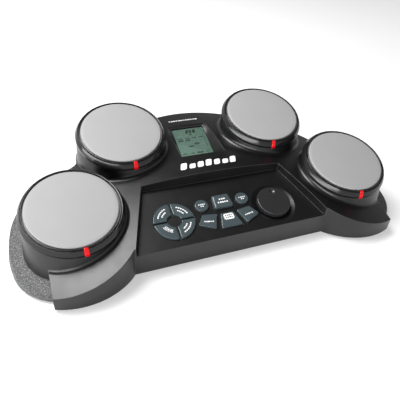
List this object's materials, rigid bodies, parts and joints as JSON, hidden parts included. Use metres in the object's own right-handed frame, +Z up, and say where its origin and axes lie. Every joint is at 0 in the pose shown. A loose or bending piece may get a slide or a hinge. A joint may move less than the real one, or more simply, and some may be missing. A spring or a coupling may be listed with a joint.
{
  "type": "electronic drum pad",
  "caption": "Table-top electronic drum kit: tilted round rubber strike pads in collars around a sloped key panel with a turning dial and a recessed display.",
  "frame": {"origin": "middle of the bounding box on the table, at the level of the feet's soles", "axes": "+X to the player's right along the width, +Y away from the player towards the sockets, +Z up"},
  "size_m": [0.4594, 0.23, 0.1033],
  "materials": {
    "shell_black": "satin gloss moulded plastic",
    "grained_cover": "coarse spark-eroded grain",
    "base_plastic": "fine matt grain",
    "foot_rubber": "matt",
    "screw_steel": "zinc plated",
    "pad_rubber": "matt grey rubber with a fine texture",
    "rim_gloss": "glossy black",
    "marker_red": "glossy translucent red",
    "plate_steel": "zinc plated sheet",
    "foam": "open-cell foam",
    "sensor_brass": "bare brass disc",
    "key_plastic": "slate grey satin",
    "mat_silicone": "translucent silicone",
    "board_green": "solder mask",
    "dial_plastic": "satin gloss",
    "switch_body": "moulded",
    "window_clear": "clear polished acrylic",
    "display_liquid": "grey-green reflective liquid crystal",
    "inner_frame": "moulded",
    "socket_plastic": "moulded",
    "button_plastic": "satin",
    "speaker_metal": "pressed basket and magnet",
    "cell_can": "plain printed sleeve",
    "contact_steel": "nickel plated"
  },
  "bodies": {
    "body": {"top_case": "shell_black", "wing_left": "grained_cover", "wing_right": "grained_cover", "bottom_case": "base_plastic", "rubber_feet": "foot_rubber", "case_screws": "screw_steel", "pad_rim_front_left": "rim_gloss", "strike_marker_front_left": "marker_red", "foam_ring_front_left": "foam", "pad_rim_back_left": "rim_gloss", "strike_marker_back_left": "marker_red", "foam_ring_back_left": "foam", "pad_rim_back_right": "rim_gloss", "strike_marker_back_right": "marker_red", "foam_ring_back_right": "foam", "pad_rim_front_right": "rim_gloss", "strike_marker_front_right": "marker_red", "foam_ring_front_right": "foam", "keypad_mat": "mat_silicone", "button_board": "board_green", "main_board": "board_green", "encoder": "switch_body", "power_switch": "switch_body", "display_window": "window_clear", "display_glass": "display_liquid", "display_frame": "inner_frame", "aux_jack": "socket_plastic", "phones_jack": "socket_plastic", "pedal_jacks": "socket_plastic", "power_inlet": "socket_plastic", "speaker_left": "speaker_metal", "speaker_right": "speaker_metal", "battery_cells": "cell_can", "battery_contacts": "contact_steel"},
    "pad_front_left": {"pad_head_front_left": "pad_rubber", "pad_plate_front_left": "plate_steel", "piezo_front_left": "sensor_brass"},
    "pad_back_left": {"pad_head_back_left": "pad_rubber", "pad_plate_back_left": "plate_steel", "piezo_back_left": "sensor_brass"},
    "pad_back_right": {"pad_head_back_right": "pad_rubber", "pad_plate_back_right": "plate_steel", "piezo_back_right": "sensor_brass"},
    "pad_front_right": {"pad_head_front_right": "pad_rubber", "pad_plate_front_right": "plate_steel", "piezo_front_right": "sensor_brass"},
    "key_ring_upper_right": {"key_ring_upper_right": "key_plastic"},
    "key_ring_upper_left": {"key_ring_upper_left": "key_plastic"},
    "key_ring_lower_left": {"key_ring_lower_left": "key_plastic"},
    "key_ring_lower_right": {"key_ring_lower_right": "key_plastic"},
    "key_round_left": {"key_round_left": "key_plastic"},
    "key_round_right": {"key_round_right": "key_plastic"},
    "key_square": {"key_square": "key_plastic"},
    "key_lower_left": {"key_lower_left": "key_plastic"},
    "key_lower_middle": {"key_lower_middle": "key_plastic"},
    "key_lower_right": {"key_lower_right": "key_plastic"},
    "dial": {"dial": "dial_plastic", "dial_shaft": "screw_steel"},
    "battery_door": {"battery_door": "base_plastic"},
    "power_button": {"power_button": "button_plastic"}
  },
  "joints": [
    {"name": "pad_front_left_press", "type": "slide", "parent": "body", "child": "pad_front_left", "axis": [0, -0.2874, 0.9578], "range_m": [-0.001, 0], "stiffness_N_per_m": 8000, "springref_m": 0.0006, "deforming": ["foam_ring_front_left"]},
    {"name": "pad_back_left_press", "type": "slide", "parent": "body", "child": "pad_back_left", "axis": [0, -0.2874, 0.9578], "range_m": [-0.001, 0], "stiffness_N_per_m": 8000, "springref_m": 0.0006, "deforming": ["foam_ring_back_left"]},
    {"name": "pad_back_right_press", "type": "slide", "parent": "body", "child": "pad_back_right", "axis": [0, -0.2874, 0.9578], "range_m": [-0.001, 0], "stiffness_N_per_m": 8000, "springref_m": 0.0006, "deforming": ["foam_ring_back_right"]},
    {"name": "pad_front_right_press", "type": "slide", "parent": "body", "child": "pad_front_right", "axis": [0, -0.2874, 0.9578], "range_m": [-0.001, 0], "stiffness_N_per_m": 8000, "springref_m": 0.0006, "deforming": ["foam_ring_front_right"]},
    {"name": "key_ring_upper_right_press", "type": "slide", "parent": "body", "child": "key_ring_upper_right", "axis": [0, -0.2453, 0.9694], "range_m": [-0.0008, 0], "stiffness_N_per_m": 500, "springref_m": 0.0008},
    {"name": "key_ring_upper_left_press", "type": "slide", "parent": "body", "child": "key_ring_upper_left", "axis": [0, -0.2453, 0.9694], "range_m": [-0.0008, 0], "stiffness_N_per_m": 500, "springref_m": 0.0008},
    {"name": "key_ring_lower_left_press", "type": "slide", "parent": "body", "child": "key_ring_lower_left", "axis": [0, -0.2453, 0.9694], "range_m": [-0.0008, 0], "stiffness_N_per_m": 500, "springref_m": 0.0008},
    {"name": "key_ring_lower_right_press", "type": "slide", "parent": "body", "child": "key_ring_lower_right", "axis": [0, -0.2453, 0.9694], "range_m": [-0.0008, 0], "stiffness_N_per_m": 500, "springref_m": 0.0008},
    {"name": "key_round_left_press", "type": "slide", "parent": "body", "child": "key_round_left", "axis": [0, -0.2453, 0.9694], "range_m": [-0.0008, 0], "stiffness_N_per_m": 500, "springref_m": 0.0008},
    {"name": "key_round_right_press", "type": "slide", "parent": "body", "child": "key_round_right", "axis": [0, -0.2453, 0.9694], "range_m": [-0.0008, 0], "stiffness_N_per_m": 500, "springref_m": 0.0008},
    {"name": "key_square_press", "type": "slide", "parent": "body", "child": "key_square", "axis": [0, -0.2453, 0.9694], "range_m": [-0.0008, 0], "stiffness_N_per_m": 500, "springref_m": 0.0008},
    {"name": "key_lower_left_press", "type": "slide", "parent": "body", "child": "key_lower_left", "axis": [0, -0.2453, 0.9694], "range_m": [-0.0008, 0], "stiffness_N_per_m": 500, "springref_m": 0.0008},
    {"name": "key_lower_middle_press", "type": "slide", "parent": "body", "child": "key_lower_middle", "axis": [0, -0.2453, 0.9694], "range_m": [-0.0008, 0], "stiffness_N_per_m": 500, "springref_m": 0.0008},
    {"name": "key_lower_right_press", "type": "slide", "parent": "body", "child": "key_lower_right", "axis": [0, -0.2453, 0.9694], "range_m": [-0.0008, 0], "stiffness_N_per_m": 500, "springref_m": 0.0008},
    {"name": "dial_turn", "type": "hinge", "parent": "body", "child": "dial", "pos_m": [0.057, -0.06063, 0.03598], "axis": [0, -0.2453, 0.9694], "continuous": true},
    {"name": "battery_door_hinge", "type": "hinge", "parent": "body", "child": "battery_door", "pos_m": [0, -0.011, 0.0062], "axis": [-1, 0, 0], "range_deg": [0, 100]},
    {"name": "power_button_press", "type": "slide", "parent": "body", "child": "power_button", "axis": [0, 1, 0], "range_m": [-0.0015, 0], "stiffness_N_per_m": 500, "springref_m": 0.001}
  ]
}
